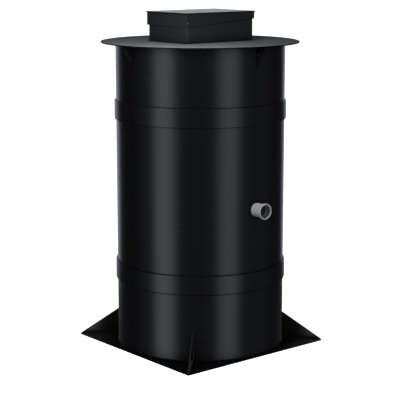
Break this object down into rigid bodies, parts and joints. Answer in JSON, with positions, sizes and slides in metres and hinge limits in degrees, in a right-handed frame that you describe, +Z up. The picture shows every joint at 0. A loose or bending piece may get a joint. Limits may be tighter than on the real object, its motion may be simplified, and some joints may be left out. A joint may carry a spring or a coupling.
{
  "type": "septic tank",
  "caption": "Round upright septic tank on a square gusseted base, with band joints, an overhanging top plate, a rectangular hinged hatch and a side outlet.",
  "frame": {"origin": "underside of the base plate, on the axis of the round wall", "axes": "+Z up; -Y to the front, where the hatch lid has its deep skirt; +Y to the hinges; +X to the outlet pipe"},
  "size_m": [1.64, 1.64, 2.791],
  "materials": {
    "black_polypropylene": "satin, extruded sheet",
    "grey_polypropylene": "satin, extruded pipe",
    "stainless_steel": "drawn, bare"
  },
  "bodies": {
    "tank": {"base_plate": "black_polypropylene", "gusset_front_left": "black_polypropylene", "gusset_front_right": "black_polypropylene", "gusset_rear_left": "black_polypropylene", "gusset_rear_right": "black_polypropylene", "lower_wall_outlet_half": "black_polypropylene", "lower_wall_blank_half": "black_polypropylene", "middle_wall_outlet_half": "black_polypropylene", "middle_wall_blank_half": "black_polypropylene", "upper_wall_outlet_half": "black_polypropylene", "upper_wall_blank_half": "black_polypropylene", "lower_band_outlet_half": "black_polypropylene", "lower_band_blank_half": "black_polypropylene", "upper_band_outlet_half": "black_polypropylene", "upper_band_blank_half": "black_polypropylene", "top_plate": "black_polypropylene", "lifting_bracket_front": "black_polypropylene", "lifting_bracket_right": "black_polypropylene", "lifting_bracket_rear": "black_polypropylene", "lifting_bracket_left": "black_polypropylene", "neck_front_wall": "black_polypropylene", "neck_rear_wall": "black_polypropylene", "neck_left_wall": "black_polypropylene", "neck_right_wall": "black_polypropylene", "hinge_base_left": "black_polypropylene", "hinge_base_right": "black_polypropylene", "hinge_pin_left": "stainless_steel", "hinge_pin_right": "stainless_steel", "outlet_pipe": "grey_polypropylene"},
    "lid": {"lid_top_plate": "black_polypropylene", "lid_front_skirt": "black_polypropylene", "lid_rear_skirt": "black_polypropylene", "lid_left_skirt": "black_polypropylene", "lid_right_skirt": "black_polypropylene", "lid_screw_left": "stainless_steel", "lid_screw_right": "stainless_steel", "hinge_leaf_left": "black_polypropylene", "hinge_leaf_right": "black_polypropylene"}
  },
  "joints": [
    {"name": "lid_hinge", "type": "hinge", "parent": "tank", "child": "lid", "pos_m": [0, 0.3778, 2.7235], "axis": [-1, 0, 0], "range_deg": [0, 100]}
  ]
}
